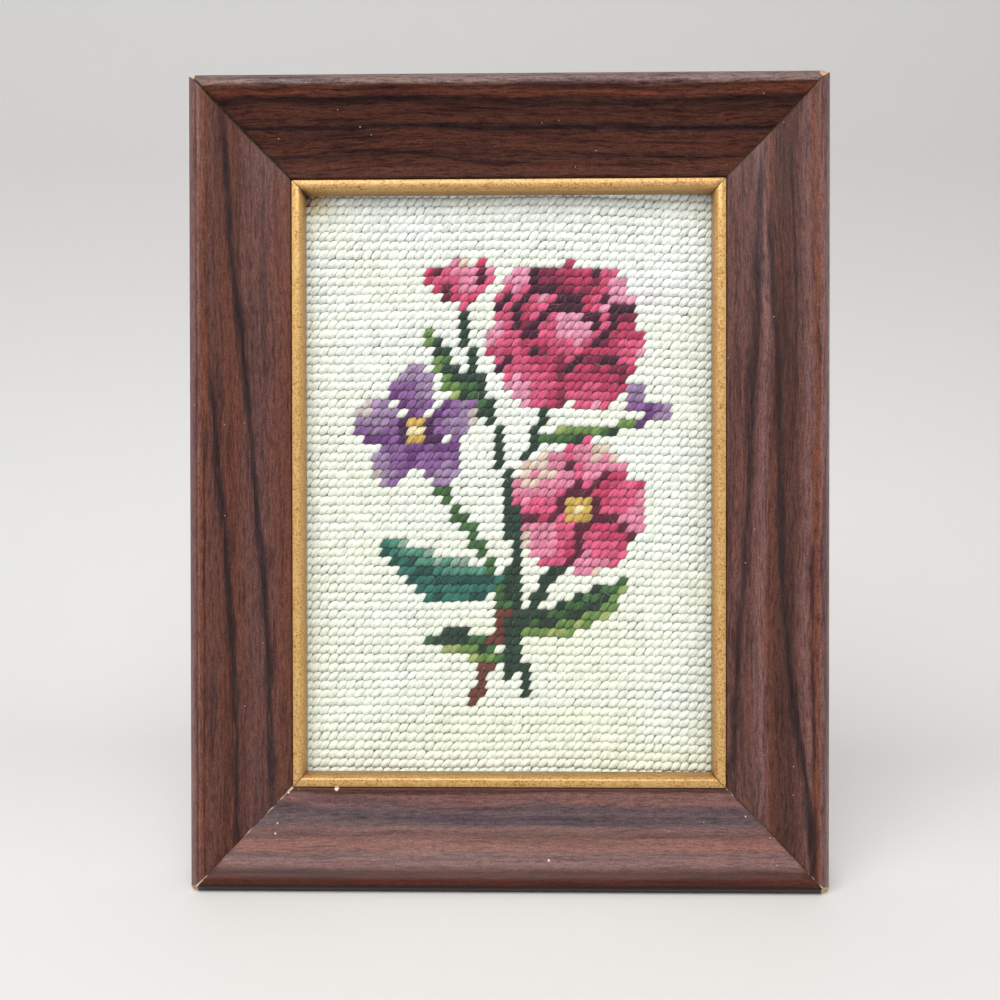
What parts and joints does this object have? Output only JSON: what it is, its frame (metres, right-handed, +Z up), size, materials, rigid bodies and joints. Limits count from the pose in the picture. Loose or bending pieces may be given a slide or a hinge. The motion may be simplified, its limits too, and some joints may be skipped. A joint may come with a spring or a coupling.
{
  "type": "needlepoint canvas panel in a picture frame",
  "caption": "Wool needlepoint picture of flowers, held flat in a mitred wooden picture frame with a thin gilt slip, standing upright on its lower edge.",
  "frame": {"origin": "under the middle of the frame, on the surface that its lower edge rests on", "axes": "+Z up along the height of the picture, -Y towards the viewer, +X to the viewer's right"},
  "size_m": [0.176, 0.022, 0.2254],
  "materials": {
    "rosewood": "dark red-brown rosewood look with charcoal streaks, semi-gloss, worn through to pale wood at the corners",
    "gilt": "thin gold leaf finish on wood, speckled and a little rubbed",
    "wool": "cream wool tent stitches with a coloured spray of flowers, matt and slightly fuzzy",
    "board": "plain brown board, matt"
  },
  "bodies": {
    "root": {"frame_top": "rosewood", "frame_bottom": "rosewood", "frame_left": "rosewood", "frame_right": "rosewood", "slip_top": "gilt", "slip_bottom": "gilt", "slip_left": "gilt", "slip_right": "gilt", "needlepoint_canvas": "wool", "backing_board": "board"}
  },
  "joints": []
}
